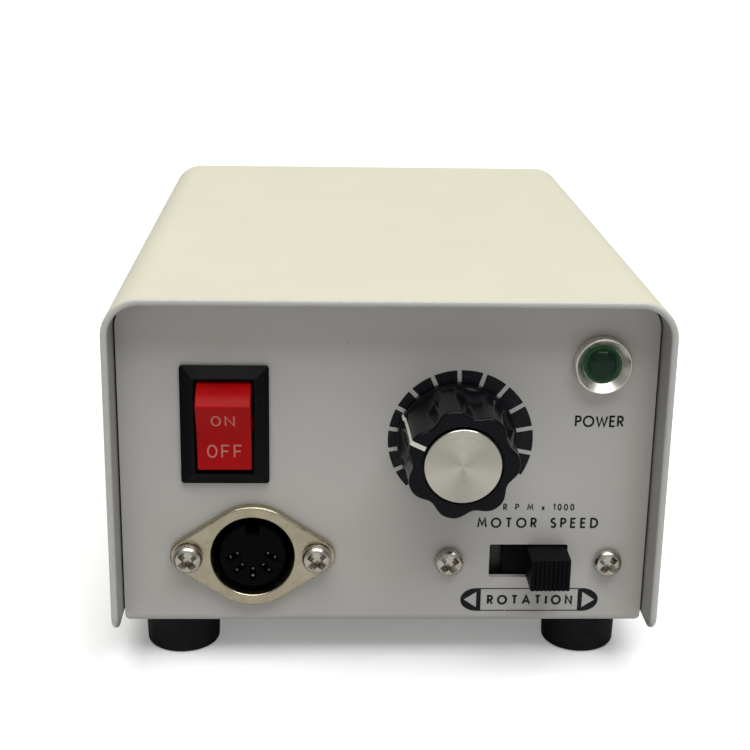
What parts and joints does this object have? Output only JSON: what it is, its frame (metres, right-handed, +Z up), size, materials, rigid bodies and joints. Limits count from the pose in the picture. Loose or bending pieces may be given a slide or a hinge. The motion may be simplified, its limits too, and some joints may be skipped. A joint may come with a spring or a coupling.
{
  "type": "dental lab micromotor",
  "caption": "Mains control box for a dental lab micromotor: folded steel case on rubber feet, rocker switch, round handpiece socket, speed knob, pilot lamp and slide switch.",
  "frame": {"origin": "on the floor, under the middle of the case", "axes": "+Z up, +Y from the front panel to the rear panel, +X to the right seen from the front"},
  "size_m": [0.0982, 0.144, 0.0682],
  "materials": {
    "cover_paint": "cream powder coat, satin",
    "panel_paint": "pale warm grey paint, satin",
    "foot_rubber": "black, matt",
    "nickel_plate": "nickel plate",
    "yellow_zinc": "yellow passivated zinc plate",
    "bright_steel": "plain steel",
    "lamp_chrome": "polished chrome",
    "spun_aluminium": "spun face",
    "contact_brass": "tinned brass",
    "black_moulding": "black, satin",
    "knob_black": "black, polished",
    "rocker_red": "red, satin",
    "lens_green": "dark green, clear",
    "fuse_glass": "clear",
    "board_green": "green solder mask",
    "coil_tape": "amber tape over the winding",
    "capacitor_sleeve": "dark blue sleeve"
  },
  "bodies": {
    "case": {"cover": "cover_paint", "chassis": "panel_paint", "foot_front_left": "foot_rubber", "foot_front_right": "foot_rubber", "foot_rear_left": "foot_rubber", "foot_rear_right": "foot_rubber", "foot_screw_front_left": "nickel_plate", "foot_screw_front_right": "nickel_plate", "foot_screw_rear_left": "nickel_plate", "foot_screw_rear_right": "nickel_plate", "cover_screw_front_left": "nickel_plate", "cover_screw_front_right": "nickel_plate", "cover_screw_rear_left": "nickel_plate", "cover_screw_rear_right": "nickel_plate", "switch_housing": "black_moulding", "switch_terminal_lower": "contact_brass", "switch_terminal_upper": "contact_brass", "socket_flange": "yellow_zinc", "socket_insert": "black_moulding", "socket_contact_1": "contact_brass", "socket_contact_2": "contact_brass", "socket_contact_3": "contact_brass", "socket_contact_4": "contact_brass", "socket_contact_5": "contact_brass", "socket_screw_left": "nickel_plate", "socket_screw_right": "nickel_plate", "pot_housing": "bright_steel", "pot_nut": "nickel_plate", "lamp_bezel": "lamp_chrome", "lamp_lens": "lens_green", "lamp_nut": "nickel_plate", "direction_frame": "bright_steel", "direction_screw_left": "nickel_plate", "direction_screw_right": "nickel_plate", "selector_frame": "bright_steel", "selector_screw_left": "nickel_plate", "selector_screw_right": "nickel_plate", "cord_bush": "black_moulding", "fuse_holder": "black_moulding", "fuse_nut": "black_moulding", "pedal_jack": "black_moulding", "pedal_jack_nut": "nickel_plate", "transformer_core": "bright_steel", "transformer_coil": "coil_tape", "transformer_strap": "yellow_zinc", "transformer_screw_front": "nickel_plate", "transformer_screw_rear": "nickel_plate", "circuit_board": "board_green", "filter_capacitor": "capacitor_sleeve", "heat_sink": "spun_aluminium", "power_transistor": "black_moulding"},
    "rocker": {"power_rocker": "rocker_red"},
    "knob": {"speed_knob": "knob_black", "knob_cap": "spun_aluminium", "knob_set_screw": "bright_steel", "pot_shaft": "bright_steel"},
    "direction_slide": {"direction_slider": "black_moulding"},
    "selector_slide": {"selector_slider": "black_moulding"},
    "fuse": {"glass_fuse": "fuse_glass"},
    "cap": {"fuse_cap": "black_moulding"}
  },
  "joints": [
    {"name": "rocker_pivot", "type": "hinge", "parent": "case", "child": "rocker", "pos_m": [-0.02755, -0.05735, 0.0447], "axis": [-1, 0, 0], "range_deg": [0, 34]},
    {"name": "speed_turn", "type": "hinge", "parent": "case", "child": "knob", "pos_m": [0.0117, -0.058, 0.0424], "axis": [0, 1, 0], "range_deg": [-91, 209]},
    {"name": "direction_run", "type": "slide", "parent": "case", "child": "direction_slide", "axis": [-1, 0, 0], "range_m": [0, 0.00625]},
    {"name": "selector_run", "type": "slide", "parent": "case", "child": "selector_slide", "axis": [1, 0, 0], "range_m": [0, 0.00625]},
    {"name": "fuse_draw", "type": "slide", "parent": "case", "child": "fuse", "axis": [0, 1, 0], "range_m": [0, 0.024]},
    {"name": "cap_turn", "type": "hinge", "parent": "fuse", "child": "cap", "pos_m": [-0.008, 0.06, 0.0247], "axis": [0, 1, 0], "range_deg": [0, 90]}
  ]
}
